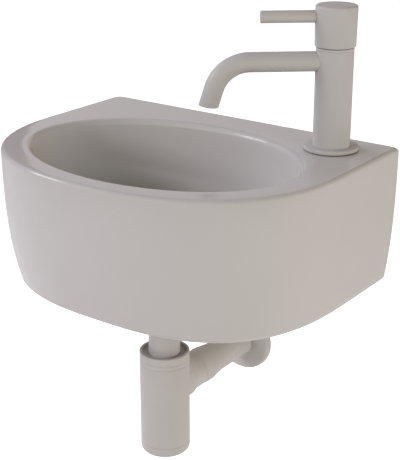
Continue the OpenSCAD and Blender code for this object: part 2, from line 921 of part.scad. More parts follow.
module waste_top_seal() {
    color(black_rubber)
        at_waste()
            ring(strainer_d - 1, waste_hole_d, waste_seat_z, flange_bottom_z);
}

module waste_bottom_seal() {
    color(black_rubber)
        at_waste()
            ring(waste_collar_d, waste_hole_d - 2, collar_z, -seat_face_depth);
}

module waste_body() {
    color(bare_brass)
        at_waste() {
            difference() {
                union() {
                    rod(waste_collar_d, collar_z - collar_t, collar_z);
                    rod(waste_thread_d, waste_end_z, collar_z);
                }
                rod(waste_bore_d, waste_end_z - over, collar_z + over);
            }
            difference() {
                union() {
                    rod(2 * waste_screw_d, bridge_z - bridge_t, bridge_z);
                    for (turn = [0, 90])
                        rotate([0, 0, turn])
                            translate([-waste_bore_d / 2 - bridge_root, -bridge_w / 2, bridge_z - bridge_t])
                                cube([waste_bore_d + 2 * bridge_root, bridge_w, bridge_t]);
                }
                rod(waste_screw_d + 2 * fit, bridge_z - bridge_t - over, bridge_z + over);
            }
        }
}

module waste_screw() {
    head_d = 1.8 * waste_screw_d;
    head_t = 2.2;
    head_z = plate_z + plate_t;
    end_z = bridge_z - bridge_t - 2;
    color(bare_steel)
        at_waste()
            difference() {
                union() {
                    rod(waste_screw_d, end_z, head_z);
                    rod(head_d, head_z, head_z + head_t);
                }
                translate([-head_d, -slot_w / 2, head_z + head_t - slot_depth])
                    cube([2 * head_d, slot_w, 2 * slot_depth]);
            }
}

// Inlet nut: it holds the drop pipe's collar up against the waste tail
pipe_collar_t = 4;
inlet_seal_t = 2;
nut_floor_t = 3;
pipe_top_z = waste_end_z - inlet_seal_t;
nut_floor_z = pipe_top_z - pipe_collar_t;
nut_bottom_z = nut_floor_z - nut_floor_t;
nut_top_z = waste_end_z + 0.7 * waste_thread_len;
nut_bevel = 1.2;
pipe_room = 0.3;
pipe_hole_d = pipe_d + 2 * pipe_room;
pipe_collar_d = waste_thread_d - 1;

module inlet_nut() {
    color(paint)
        at_waste()
            difference() {
                rotate_extrude()
                    polygon([
                        [0, nut_bottom_z],
                        [inlet_nut_d / 2 - nut_bevel, nut_bottom_z],
                        [inlet_nut_d / 2, nut_bottom_z + nut_bevel],
                        [inlet_nut_d / 2, nut_top_z - nut_bevel],
                        [inlet_nut_d / 2 - nut_bevel, nut_top_z],
                        [0, nut_top_z]
                    ]);
                rod(waste_thread_d + 2 * fit, nut_floor_z, nut_top_z + over);
                rod(pipe_hole_d, nut_bottom_z - over, nut_floor_z + over);
            }
}

module inlet_seal() {
    color(black_rubber)
        at_waste()
            ring(pipe_collar_d, waste_bore_d, pipe_top_z, waste_end_z);
}

// Trap: the ring is a nut over the cup's neck, and it squeezes a seal round the drop pipe
ring_top_z = -ring_drop;
ring_bottom_z = ring_top_z - ring_h;
cup_bottom_z = ring_bottom_z - cup_h;
cap_bottom_z = cup_bottom_z - cap_h;
cap_floor_t = 3;
ring_recess = 2.5;
shelf_z = ring_top_z - ring_recess;
shelf_t = 2;
ring_seal_t = 2;
neck_end_z = shelf_z - shelf_t - ring_seal_t;
ring_wall = 3;
// Fine groove round the ring, and its height above the ring's bottom
ring_groove_r = 0.4;
ring_groove_up = 4.4;
cup_neck_d = cup_d - 2 * ring_wall - 2 * fit;
cup_neck_t = 3;
cup_bore_d = cup_d - 2 * cup_t;
dip_z = cap_bottom_z + cap_floor_t + dip_gap;

module drop_pipe() {
    color(paint)
        at_waste()
            difference() {
                union() {
                    rod(pipe_d, dip_z, pipe_top_z);
                    rod(pipe_collar_d, nut_floor_z, pipe_top_z);
                }
                rod(pipe_d - 2 * pipe_t, dip_z - over, pipe_top_z + over);
            }
}

module trap_ring() {
    color(paint)
        at_waste()
            difference() {
                rotate_extrude()
                    polygon([
                        [0, ring_bottom_z],
                        [cup_d / 2 - trap_nick, ring_bottom_z],
                        [cup_d / 2, ring_bottom_z + trap_nick],
                        [cup_d / 2, ring_bottom_z + ring_groove_up - ring_groove_r],
                        [cup_d / 2 - ring_groove_r, ring_bottom_z + ring_groove_up],
                        [cup_d / 2, ring_bottom_z + ring_groove_up + ring_groove_r],
                        [cup_d / 2, ring_top_z - trap_nick],
                        [cup_d / 2 - trap_nick, ring_top_z],
                        [0, ring_top_z]
                    ]);
                rod(cup_d - 2 * ring_wall, shelf_z, ring_top_z + over);
                rod(pipe_hole_d, shelf_z - shelf_t - over, shelf_z + over);
                rod(cup_neck_d + 2 * fit, ring_bottom_z - over, shelf_z - shelf_t);
            }
}

module ring_seal() {
    color(black_rubber)
        at_waste()
            ring(cup_neck_d, pipe_d + 2 * fit, neck_end_z, shelf_z - shelf_t);
}

// Outlet: the spigot, its nut and the pipe lie along y, at the outlet's height
outlet_z = ring_top_z - outlet_drop;
spigot_bore_d = pipe_d + 0.4;
outlet_nut_wall = 1.6;
spigot_d = outlet_nut_d - 2 * outlet_nut_wall;
cup_shoulder_t = 3;

// Places what follows on the outlet's axis, with z running from the trap's axis towards the wall
module at_outlet() {
    translate([0, bowl_y, deck_z + outlet_z])
        rotate([-90, 0, 0])
            children();
}

module trap_cup() {
    color(paint)
        difference() {
            union() {
                at_waste() {
                    rotate_extrude()
                        polygon([
                            [0, cup_bottom_z],
                            [cup_d / 2 - trap_nick, cup_bottom_z],
                            [cup_d / 2, cup_bottom_z + trap_nick],
                            [cup_d / 2, ring_bottom_z - trap_nick],
                            [cup_d / 2 - trap_nick, ring_bottom_z],
                            [0, ring_bottom_z]
                        ]);
                    rod(cup_neck_d, ring_bottom_z - over, neck_end_z);
                }
                at_outlet() {
                    rod(spigot_d, 0, spigot_len);
                    skin(flare_rings, [0, -flare_lift(flare_high), flare_start], [0, 0, flare_end]);
                }
            }
            at_waste() {
                rod(cup_bore_d, cup_bottom_z - over, ring_bottom_z - cup_shoulder_t);
                rod(cup_neck_d - 2 * cup_neck_t, cup_bottom_z, neck_end_z + over);
            }
            at_outlet()
                rod(spigot_bore_d, 0, spigot_len + over);
        }
}

// The cap's plug goes up into the cup and carries a round seal in a square groove
cap_plug_h = 6;
cap_plug_wall = 4;
cap_groove_z = cup_bottom_z + 2.5;
cap_seal_r = 1;

module trap_cap() {
    plug_d = cup_bore_d - 2 * fit;
    color(paint)
        at_waste()
            difference() {
                union() {
                    rotate_extrude()
                        polygon(concat(
                            [[0, cap_bottom_z]],
                            arc(cup_d / 2 - cap_edge_r, cap_bottom_z + cap_edge_r, cap_edge_r, -90, 0),
                            [
                                [cup_d / 2, cup_bottom_z - trap_nick],
                                [cup_d / 2 - trap_nick, cup_bottom_z],
                                [0, cup_bottom_z]
                            ]
                        ));
                    rod(plug_d, cup_bottom_z - over, cup_bottom_z + cap_plug_h);
                }
                rod(plug_d - 2 * cap_plug_wall, cap_bottom_z + cap_floor_t, cup_bottom_z + cap_plug_h + over);
                ring(cup_d, plug_d - 4 * cap_seal_r, cap_groove_z - cap_seal_r, cap_groove_z + cap_seal_r);
            }
}

module cap_seal() {
    color(black_rubber)
        at_waste()
            o_ring(cup_bore_d / 2 - fit - cap_seal_r, cap_seal_r, cap_groove_z);
}

// The outlet's nut swells a little to its shoulder, then falls in a soft S to its nose round the pipe
outlet_seal_t = 3;
outlet_nut_nose = 19;
outlet_nut_end = spigot_len + outlet_seal_t + outlet_nut_nose;
outlet_nut_start = outlet_nut_end - outlet_nut_len;
outlet_face_t = 3;
outlet_shoulder = spigot_len + outlet_seal_t + outlet_face_t;
outlet_swell = 0.9;
outlet_nose_wall = 0.8;
outlet_nut_steps = 8;
pipe_grip = 22;

// Blend of the spigot into the cup: its underside stays level and its top falls from the ring to the nut
flare_start = 8;
flare_gap = 0.3;
flare_end = outlet_nut_start - flare_gap;
flare_under_ring = 1.8;
flare_over_cup = 4;
flare_ease = 1.15;
flare_low = outlet_nut_d / 2 - outlet_swell;
flare_high = max(min(outlet_drop - ring_h - flare_under_ring, cup_d / 2 + flare_over_cup), flare_low);
flare_steps = 8;
flare_sides = 48;
function flare_lift(top) = (top - flare_low) / 2;
function flare_ring(top, z) = [for (i = [0:flare_sides - 1])
    let (a = -360 * i / flare_sides, r = flare_low + flare_lift(top))
        [r * cos(a), r * sin(a) - flare_lift(top), z]];
flare_rings = concat(
    [flare_ring(flare_high, flare_start)],
    [for (j = [0:flare_steps]) let (t = j / flare_steps)
        flare_ring(
            flare_low + (flare_high - flare_low) * pow(1 - t, flare_ease),
            cup_d / 2 + (flare_end - cup_d / 2) * t
        )]
);

function outlet_nut_profile(wide, nose) = concat(
    [for (i = [0:outlet_nut_steps]) let (t = i / outlet_nut_steps)
        [wide - outlet_swell * (1 - sin(90 * t)), outlet_nut_start + (outlet_shoulder - outlet_nut_start) * t]],
    [for (i = [1:outlet_nut_steps]) let (t = i / outlet_nut_steps)
        [nose + (wide - nose) * (1 + cos(180 * t)) / 2, outlet_shoulder + (outlet_nut_end - outlet_shoulder) * t]]
);

module outlet_nut() {
    start = outlet_nut_start;
    color(paint)
        at_outlet()
            difference() {
                rotate_extrude()
                    polygon(concat(
                        [[0, start]],
                        outlet_nut_profile(outlet_nut_d / 2, pipe_d / 2 + outlet_nose_wall),
                        [[0, outlet_nut_end]]
                    ));
                rod(spigot_d + 2 * fit, start - over, spigot_len + outlet_seal_t);
                rod(pipe_d + 2 * fit, spigot_len, outlet_nut_end + over);
            }
}

module outlet_seal() {
    color(black_rubber)
        at_outlet()
            ring(spigot_d, pipe_d + 2 * fit, spigot_len, spigot_len + outlet_seal_t);
}

module outlet_pipe() {
    wall = -bowl_y;
    color(paint)
        at_outlet()
            difference() {
                union() {
                    rod(pipe_d, spigot_len - pipe_grip, wall);
                    rod(wall_pipe_d, wall, wall + wall_pipe_len);
                }
                rod(pipe_d - 2 * pipe_t, spigot_len - pipe_grip - over, wall + wall_pipe_len + over);
            }
}

rosette_edge_r = 5;
rosette_t = 1.2;
rosette_slope = 2;
rosette_hub = 3;
rosette_gap = 0.1;

// A shallow dish with a rounded edge and a sloping face, from z = foot up to h
module rosette_dish(r, foot, h, edge) {
    rotate_extrude()
        polygon(concat(
            [[0, foot], [r, foot]],
            arc(r - edge, h - rosette_slope - edge, edge, 0, 75),
            [[pipe_d / 2 + rosette_hub, h], [0, h]]
        ));
}

module wall_rosette() {
    inner_r = rosette_d / 2 - rosette_t;
    color(paint)
        translate([0, 0, deck_z + outlet_z])
            rotate([90, 0, 0])
                difference() {
                    rosette_dish(rosette_d / 2, 0, rosette_h, rosette_edge_r);
                    rosette_dish(inner_r, -over, rosette_h - rosette_t, rosette_edge_r - rosette_t);
                    rod(pipe_d + 2 * rosette_gap, -over, rosette_h + over);
                }
}

basin();
wall_bushes();
tap_seal();
tap_flange();
tap_body();
slide_ring();
spout();
outlet_seal_ring();
outlet_insert();
handle_knob();
lever_pin();
grub_screw();
headwork_body();
headwork_seat();
fixed_disc();
moving_disc();
spindle();
spindle_seals();
spindle_clip();
threaded_shank();
centring_bush();
rubber_washer();
metal_washer();
backnut();
inlet_tail();
waste_strainer();
waste_top_seal();
waste_bottom_seal();
waste_body();
waste_screw();
inlet_nut();
inlet_seal();
drop_pipe();
trap_ring();
ring_seal();
trap_cup();
trap_cap();
cap_seal();
outlet_nut();
outlet_seal();
outlet_pipe();
wall_rosette();
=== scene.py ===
import json
import math

import bmesh
import bpy
from mathutils import Matrix, Vector


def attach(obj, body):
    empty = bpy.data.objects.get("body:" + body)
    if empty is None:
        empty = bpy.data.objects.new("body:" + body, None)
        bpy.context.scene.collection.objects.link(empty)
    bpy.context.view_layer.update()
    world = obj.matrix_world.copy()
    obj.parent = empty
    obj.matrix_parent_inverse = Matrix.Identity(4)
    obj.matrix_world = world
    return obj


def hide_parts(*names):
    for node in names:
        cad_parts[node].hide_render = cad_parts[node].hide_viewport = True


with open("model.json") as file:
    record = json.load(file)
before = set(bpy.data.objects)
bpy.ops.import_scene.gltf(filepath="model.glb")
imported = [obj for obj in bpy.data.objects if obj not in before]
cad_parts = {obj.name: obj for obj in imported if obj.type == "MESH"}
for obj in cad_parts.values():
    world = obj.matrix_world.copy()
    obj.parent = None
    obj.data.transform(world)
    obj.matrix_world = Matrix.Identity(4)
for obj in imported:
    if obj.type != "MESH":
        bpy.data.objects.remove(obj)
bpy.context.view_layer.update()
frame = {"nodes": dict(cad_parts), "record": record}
scene = bpy.context.scene
mm = 0.001
print("frame loaded:", len(frame["nodes"]), "nodes")


# Camera, at the photograph's viewing angle

cameraSizes = dict(
    place=(0.63966, -0.96057, 0.37911), azimuth=36.15, elevation=20.578, lens=89.16, sensor=36, farthest=50)


def makeCamera():
    s = cameraSizes
    cameraData = bpy.data.cameras.new("camera")
    cameraData.sensor_width = s["sensor"]
    cameraData.sensor_fit = "AUTO"
    cameraData.lens = s["lens"]
    cameraData.clip_end = s["farthest"]
    camera = bpy.data.objects.new("camera", cameraData)
    camera.location = s["place"]
    camera.rotation_euler = (math.radians(90 - s["elevation"]), 0, math.radians(s["azimuth"]))
    scene.collection.objects.link(camera)
    scene.camera = camera


makeCamera()
scene.view_settings.view_transform = "Standard"


# Studio: soft light from six sides, a few wide lamps, and a white background

def link(tree, start, end):
    tree.links.new(start, end)


def mathNode(tree, operation, first, second):
    made = tree.nodes.new("ShaderNodeMath")
    made.operation = operation
    for socket, value in zip(made.inputs, (first, second)):
        if isinstance(value, (int, float)):
            socket.default_value = value
        else:
            link(tree, value, socket)
    return made.outputs[0]


# One socket: 1 for the rays that see the background, less for mirrored ones, 0 for those that light
def backgroundRays(tree, mirrored=1.0):
    path = tree.nodes.new("ShaderNodeLightPath")
    seen = mathNode(tree, "MAXIMUM", path.outputs["Is Camera Ray"], path.outputs["Is Transmission Ray"])
    glossy = mathNode(tree, "MULTIPLY", path.outputs["Is Glossy Ray"], mirrored)
    return mathNode(tree, "MAXIMUM", seen, glossy)


# Colours of the light from each side, and of what the glaze mirrors there
worldSizes = dict(
    light=dict(
        right=(0.52, 0.65, 0.71), left=(1.10, 1.20, 1.40), back=(1.61, 1.13, 0.80),
        front=(0.02, 0.02, 0.02), up=(0.01, 0.01, 0.01), down=(0.3, 0.3, 0.3)),
    gloss=dict(
        right=(0.31, 0.28, 0.30), left=(0.02, 0.02, 0.02), back=(0.02, 0.02, 0.02),
        front=(1.20, 1.11, 0.95), up=(0.08, 0.07, 0.06), down=(0.8, 0.8, 0.8)),
    background=(1, 1, 1, 1))


# A colour that changes softly with the direction, from one colour for each of six sides
def sixSides(tree, colours, split):
    total = None
    for axis, sides in (("X", ("right", "left")), ("Y", ("back", "front")), ("Z", ("up", "down"))):
        for sign, side in zip((1, -1), sides):
            facing = mathNode(tree, "MAXIMUM", mathNode(tree, "MULTIPLY", split.outputs[axis], sign), 0)
            tint = tree.nodes.new("ShaderNodeVectorMath")
            tint.operation = "SCALE"
            tint.inputs[0].default_value = colours[side]
            link(tree, mathNode(tree, "POWER", facing, 2), tint.inputs["Scale"])
            if total:
                both = tree.nodes.new("ShaderNodeVectorMath")
                link(tree, total, both.inputs[0])
                link(tree, tint.outputs[0], both.inputs[1])
                total = both.outputs[0]
            else:
                total = tint.outputs[0]
    return total


def makeWorld():
    world = bpy.data.worlds.new("studio")
    world.use_nodes = True
    scene.world = world
    tree = world.node_tree
    tree.nodes.clear()
    coord = tree.nodes.new("ShaderNodeTexCoord")
    split = tree.nodes.new("ShaderNodeSeparateXYZ")
    link(tree, coord.outputs["Generated"], split.inputs[0])
    path = tree.nodes.new("ShaderNodeLightPath")
    light = tree.nodes.new("ShaderNodeBackground")
    link(tree, sixSides(tree, worldSizes["light"], split), light.inputs["Color"])
    seen = tree.nodes.new("ShaderNodeMix")
    seen.data_type = "RGBA"
    seen.inputs["A"].default_value = worldSizes["background"]
    link(tree, path.outputs["Is Glossy Ray"], seen.inputs["Factor"])
    link(tree, sixSides(tree, worldSizes["gloss"], split), seen.inputs["B"])
    background = tree.nodes.new("ShaderNodeBackground")
    link(tree, seen.outputs["Result"], background.inputs["Color"])
    mix = tree.nodes.new("ShaderNodeMixShader")
    out = tree.nodes.new("ShaderNodeOutputWorld")
    link(tree, backgroundRays(tree), mix.inputs[0])
    link(tree, light.outputs[0], mix.inputs[1])
    link(tree, background.outputs[0], mix.inputs[2])
    link(tree, mix.outputs[0], out.inputs[0])


makeWorld()

# Azimuth 0 is in front of the basin and 90 on its right; only the mirrored lamps show in the glaze
lampSizes = dict(
    keyLamp=dict(
        azimuth=-30, elevation=20, size=(0.8, 0.8), power=30, colour=(0.96, 0.94, 1), mirrored=False),
    leftLamp=dict(
        azimuth=-92, elevation=40, size=(1.0, 1.0), power=20, colour=(0.80, 0.78, 1), mirrored=False),
    edgeLamp=dict(
        azimuth=-63, elevation=32, size=(0.8, 0.42), power=10.5, colour=(1, 1, 1), mirrored=True),
    backLamp=dict(
        azimuth=-147, elevation=17, size=(1.25, 0.9), power=1.8, colour=(1, 1, 1), mirrored=True),
    rightLamp=dict(
        azimuth=75, elevation=10, size=(1.2, 1.2), power=30.5, colour=(1, 0.95, 0.88), mirrored=False))
lampDistance = 2.4
lampAim = Vector((0, -0.13, -0.02))


def fromAngles(azimuth, elevation):
    a, e = math.radians(azimuth), math.radians(elevation)
    return Vector((math.sin(a) * math.cos(e), -math.cos(a) * math.cos(e), math.sin(e)))


def makeLamp(name, s):
    lampData = bpy.data.lights.new(name, "AREA")
    lampData.shape = "RECTANGLE"
    lampData.size, lampData.size_y = s["size"]
    lampData.energy = s["power"]
    lampData.color = s["colour"]
    lamp = bpy.data.objects.new(name, lampData)
    away = fromAngles(s["azimuth"], s["elevation"])
    lamp.location = lampAim + away * lampDistance
    lamp.rotation_euler = away.to_track_quat("Z", "Y").to_euler()
    lamp.visible_glossy = s["mirrored"]
    scene.collection.objects.link(lamp)


for lampName, lampSize in lampSizes.items():
    makeLamp(lampName, lampSize)

# The floor lies well below the basin; lift is its own glow, which only the background's rays see
floorSizes = dict(level=-0.78, half=6.0, colour=(0.8, 0.8, 0.79), lift=0.78, mirrored=0.1)


# Pale and matte from above, clear from below
def makeFloorMaterial():
    s = floorSizes
    made = bpy.data.materials.new("paleFloor")
    made.use_nodes = True
    tree = made.node_tree
    tree.nodes.clear()
    matte = tree.nodes.new("ShaderNodeBsdfDiffuse")
    matte.inputs["Color"].default_value = (*s["colour"], 1)
    glow = tree.nodes.new("ShaderNodeEmission")
    both = tree.nodes.new("ShaderNodeAddShader")
    clear = tree.nodes.new("ShaderNodeBsdfTransparent")
    side = tree.nodes.new("ShaderNodeMixShader")
    face = tree.nodes.new("ShaderNodeNewGeometry")
    out = tree.nodes.new("ShaderNodeOutputMaterial")
    shown = backgroundRays(tree, s["mirrored"])
    link(tree, mathNode(tree, "MULTIPLY", shown, s["lift"]), glow.inputs["Strength"])
    link(tree, matte.outputs[0], both.inputs[0])
    link(tree, glow.outputs[0], both.inputs[1])
    link(tree, face.outputs["Backfacing"], side.inputs[0])
    link(tree, both.outputs[0], side.inputs[1])
    link(tree, clear.outputs[0], side.inputs[2])
    link(tree, side.outputs[0], out.inputs[0])
    return made


def makeFloor():
    bm = bmesh.new()
    bmesh.ops.create_grid(bm, x_segments=1, y_segments=1, size=floorSizes["half"])
    bmesh.ops.translate(bm, verts=bm.verts, vec=(0, 0, floorSizes["level"]))
    mesh = bpy.data.meshes.new("floor")
    bm.to_mesh(mesh)
    bm.free()
    mesh.materials.append(makeFloorMaterial())
    made = bpy.data.objects.new("floor", mesh)
    scene.collection.objects.link(made)


makeFloor()
print("camera, lamps and floor made")


# Finishes: shade darkens the colour in the blotches, gloss is the range of roughness, patch and grain
# are the scales of the blotches and of the fine relief, and swell is a slow wave in the surface

finishSizes = dict(
    glazed_ceramic=dict(
        name="satinGlaze", colour=(0.462, 0.440, 0.418), shade=0.975, patch=14, gloss=(0.06, 0.10),
        grain=900, relief=0.0000015, swell=dict(scale=22, height=0.0001)),
    grey_paint=dict(
        name="powderCoat", colour=(0.440, 0.418, 0.393), shade=0.97, patch=35, gloss=(0.34, 0.44),
        grain=1400, relief=0.000010, specular=0.4),
    brass=dict(
        name="turnedBrass", colour=(0.62, 0.45, 0.20), shade=0.9, patch=60, gloss=(0.22, 0.38),
        grain=260, relief=0.000010, metal=1.0, stretch=(1, 1, 14)),
    rubber=dict(
        name="blackRubber", colour=(0.030, 0.030, 0.031), shade=0.7, patch=80, gloss=(0.60, 0.75),
        grain=900, relief=0.00003),
    steel=dict(
        name="turnedSteel", colour=(0.55, 0.55, 0.56), shade=0.92, patch=60, gloss=(0.24, 0.38),
        grain=300, relief=0.000008, metal=1.0, stretch=(1, 1, 12)),
    plastic=dict(
        name="whitePlastic", colour=(0.72, 0.72, 0.69), shade=0.96, patch=50, gloss=(0.42, 0.52),
        grain=700, relief=0.00001),
    disc_ceramic=dict(
        name="lappedCeramic", colour=(0.80, 0.79, 0.76), shade=0.97, patch=50, gloss=(0.18, 0.26),
        grain=900, relief=0.000004))
noiseSizes = dict(blotchDetail=3, grainDetail=2, swellDetail=1, low=0.3, high=0.7)


def noiseNode(tree, scale, detail, vector):
    made = tree.nodes.new("ShaderNodeTexNoise")
    made.inputs["Scale"].default_value = scale
    made.inputs["Detail"].default_value = detail
    link(tree, vector, made.inputs["Vector"])
    return made.outputs["Fac"]


def bumpNode(tree, height, source):
    made = tree.nodes.new("ShaderNodeBump")
    made.inputs["Strength"].default_value = 1.0
    made.inputs["Distance"].default_value = height
    link(tree, source, made.inputs["Height"])
    return made


# Soft blotches of colour and gloss, and a fine relief, on the piece's own coordinates
def makeFinish(s):
    made = bpy.data.materials.new(s["name"])
    made.use_nodes = True
    tree = made.node_tree
    shader = tree.nodes["Principled BSDF"]
    shader.inputs["Metallic"].default_value = s.get("metal", 0.0)
    shader.inputs["Specular IOR Level"].default_value = s.get("specular", 0.5)
    place = tree.nodes.new("ShaderNodeTexCoord").outputs["Object"]
    mapping = tree.nodes.new("ShaderNodeMapping")
    mapping.inputs["Scale"].default_value = s.get("stretch", (1, 1, 1))
    link(tree, place, mapping.inputs["Vector"])
    tone = tree.nodes.new("ShaderNodeMix")
    tone.data_type = "RGBA"
    tone.inputs["A"].default_value = (*s["colour"], 1)
    tone.inputs["B"].default_value = (*[c * s["shade"] for c in s["colour"]], 1)
    link(tree, noiseNode(tree, s["patch"], noiseSizes["blotchDetail"], place), tone.inputs["Factor"])
    link(tree, tone.outputs["Result"], shader.inputs["Base Color"])
    fine = noiseNode(tree, s["grain"], noiseSizes["grainDetail"], mapping.outputs["Vector"])
    rough = tree.nodes.new("ShaderNodeMapRange")
    rough.inputs["From Min"].default_value = noiseSizes["low"]
    rough.inputs["From Max"].default_value = noiseSizes["high"]
    rough.inputs["To Min"].default_value = s["gloss"][0]
    rough.inputs["To Max"].default_value = s["gloss"][1]
    link(tree, fine, rough.inputs["Value"])
    link(tree, rough.outputs[0], shader.inputs["Roughness"])
    bump = bumpNode(tree, s["relief"], fine)
    if "swell" in s:
        wave = noiseNode(tree, s["swell"]["scale"], noiseSizes["swellDetail"], place)
        link(tree, bumpNode(tree, s["swell"]["height"], wave).outputs[0], bump.inputs["Normal"])
    link(tree, bump.outputs[0], shader.inputs["Normal"])
    return made


finishes = {slotName: makeFinish(finish) for slotName, finish in finishSizes.items()}
print("finishes made:", len(finishes))

slotOfNode = {part["node"]: part["material_slot"] for part in frame["record"]["subparts"]}
bodyOfNode = {
    nodeName: bodyName for bodyName, nodeNames in frame["record"]["behaviour"]["bodies"].items()
    for nodeName in nodeNames}

for nodeName, nodeObject in frame["nodes"].items():
    nodeObject.data.materials.clear()
    nodeObject.data.materials.append(finishes[slotOfNode[nodeName]])


# Making of pieces; lengths are in mm in the dictionaries and in metres in the meshes

sameVertex = 0.000002
sameRim = 0.000001
sharpAngle = 32
bevelSteps = 4
coarseTurn = 64
turn = 96
fineTurn = 128


# Closes the mesh, names it for its node and gives it the node's body and finish
def addPiece(bm, name, node, sharp=sharpAngle):
    bmesh.ops.remove_doubles(bm, verts=bm.verts, dist=sameVertex)
    bmesh.ops.recalc_face_normals(bm, faces=bm.faces)
    mesh = bpy.data.meshes.new(name)
    bm.to_mesh(mesh)
    bm.free()
    mesh.shade_smooth()
    mesh.set_sharp_from_angle(angle=math.radians(sharp))
    mesh.materials.append(finishes[slotOfNode[node]])
    piece = bpy.data.objects.new(name, mesh)
    scene.collection.objects.link(piece)
    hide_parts(node)
    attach(piece, bodyOfNode[node])
    print("piece", name, len(mesh.polygons), "faces")


def isOnRim(vertex, r, z):
    far = abs(math.hypot(vertex.co.x, vertex.co.y) - r * mm)
    return far < sameRim and abs(vertex.co.z - z * mm) < sameRim


# Turns a profile of (radius, height) round the z axis; a third number rounds the edge there
def lathe(profile, steps=turn, closed=True):
    bm = bmesh.new()
    made = [bm.verts.new((r * mm, 0, z * mm)) for r, z, *_ in profile]
    edges = [bm.edges.new((a, b)) for a, b in zip(made, made[1:])]
    if closed:
        edges.append(bm.edges.new((made[-1], made[0])))
    bmesh.ops.spin(
        bm, geom=made + edges, cent=(0, 0, 0), axis=(0, 0, 1), dvec=(0, 0, 0),
        angle=2 * math.pi, steps=steps, use_merge=True, use_normal_flip=False)
    bmesh.ops.remove_doubles(bm, verts=bm.verts, dist=sameVertex)
    for r, z, *rounding in profile:
        if not rounding:
            continue
        rim = [e for e in bm.edges if all(isOnRim(v, r, z) for v in e.verts)]
        bmesh.ops.bevel(
            bm, geom=rim, offset=rounding[0] * mm, offset_type="OFFSET",
            segments=bevelSteps + int(rounding[0]), profile=0.5, affect="EDGES", material=-1)
    return bm


# Gives the new rim of an open edge loop, in the order of the old one
def pullLoop(bm, loop):
    edges = [bm.edges.get((a, b)) for a, b in zip(loop, loop[1:] + loop[:1])]
    made = bmesh.ops.extrude_edge_only(bm, edges=edges)["geom"]
    fresh = {g for g in made if isinstance(g, bmesh.types.BMVert)}
    return [next(e.other_vert(v) for e in v.link_edges if e.other_vert(v) in fresh) for v in loop]


# Skin through rings of points, each a list as long as the first, joined end to end where closed
def skinRings(rings, closed):
    bm = bmesh.new()
    first = bmesh.ops.create_circle(bm, segments=len(rings[0]), radius=1)["verts"]
    for v, co in zip(first, rings[0]):
        v.co = co
    loop = first
    for ring in rings[1:] + ([rings[0]] if closed else []):
        loop = pullLoop(bm, loop)
        for v, co in zip(loop, ring):
            v.co = co
    bmesh.ops.remove_doubles(bm, verts=bm.verts, dist=sameVertex)
    return bm


# A plain pin of radius r from z = low to high, put in place by a matrix
def pin(r, low, high, place, segments):
    bm = bmesh.new()
    bmesh.ops.create_cone(
        bm, cap_ends=True, segments=segments, radius1=r * mm, radius2=r * mm, depth=(high - low) * mm,
        matrix=place @ Matrix.Translation((0, 0, (low + high) / 2 * mm)))
    return bm


# Joins other closed meshes to a mesh, or cuts them out of it
def joinOrCut(bm, others, operation):
    temporary = []
    for index, one in enumerate([bm] + others):
        bmesh.ops.recalc_face_normals(one, faces=one.faces)
        mesh = bpy.data.meshes.new("rough" + str(index))
        one.to_mesh(mesh)
        one.free()
        temporary.append(bpy.data.objects.new("rough" + str(index), mesh))
        scene.collection.objects.link(temporary[-1])
    for other in temporary[1:]:
        change = temporary[0].modifiers.new("change", "BOOLEAN")
        change.object = other
        change.operation = operation
        change.solver = "EXACT"
    result = bmesh.new()
    result.from_mesh(temporary[0].evaluated_get(bpy.context.evaluated_depsgraph_get()).data)
    for one in temporary:
        mesh = one.data
        bpy.data.objects.remove(one)
        bpy.data.meshes.remove(mesh)
    return result


# Basin: x to the right of its middle, y from the wall, depths down from the deck

basinSizes = dict(
    width=352, depth=268, height=139, side=111, fullness=2.36,
    sideTaper=8, frontTaper=21, sideShorter=38, footFullness=2.8, taperPower=2.8,
    edgeRound=4, footRound=4, innerFootRound=2, cornerRound=4.5, softCorner=10, leastCorner=1,
    skirt=9, back=12, deck=12, bowlHalfWidth=141.6, bowlHalfDepth=98.35, bowlCentre=-145.75,
    bowlDepth=104, bowlPower=2.7, lip=6, bowlWall=7, bowlFloor=14, wasteHole=23, wasteRecess=32.5,
    recessDepth=106.5, spotFace=31, spotDepth=116, deckLevel=70, tapHole=17.5, tapX=124.7, tapY=-44,
    boltHole=7, boltX=90, cutPast=1)
basinSteps = dict(
    side=10, front=104, corner=6, back=30, bowl=30, lip=9, rim=4, edge=8, fascia=26, foot=6, skirt=14,
    under=22)
bowlFoot = 0.36  # share of the bowl's width where its floor turns into the circle round the waste


def powered(value, power):
    return math.copysign(abs(value) ** power, value)


def quarterTurn(steps, first=0):
    return [math.pi / 2 * i / steps for i in range(first, steps + 1)]


# Plan outline as in the solid: right side, front curve, left side, corner, back edge, corner
def planOutline(width, depth, side, fullness, corner, back):
    n = basinSteps
    points = []
    for i in range(n["side"]):
        points.append((width / 2, back - corner - (side + back - corner) * i / n["side"]))
    for i in range(n["front"] + 1):
        t = math.pi * i / n["front"]
        points.append((
            width / 2 * powered(math.cos(t), 2 / fullness),
            -side - (depth - side) * abs(math.sin(t)) ** (2 / fullness)))
    for i in range(1, n["side"] + 1):
        points.append((-width / 2, -side + (side + back - corner) * i / n["side"]))
    for i in range(1, n["corner"] + 1):
        t = math.pi - math.pi / 2 * i / n["corner"]
        points.append((-width / 2 + corner + corner * math.cos(t), back - corner + corner * math.sin(t)))
    for i in range(1, n["back"]):
        points.append((-width / 2 + corner + (width - 2 * corner) * i / n["back"], back))
    for i in range(n["corner"]):
        t = math.pi / 2 - math.pi / 2 * i / n["corner"]
        points.append((width / 2 - corner + corner * math.cos(t), back - corner + corner * math.sin(t)))
    return points


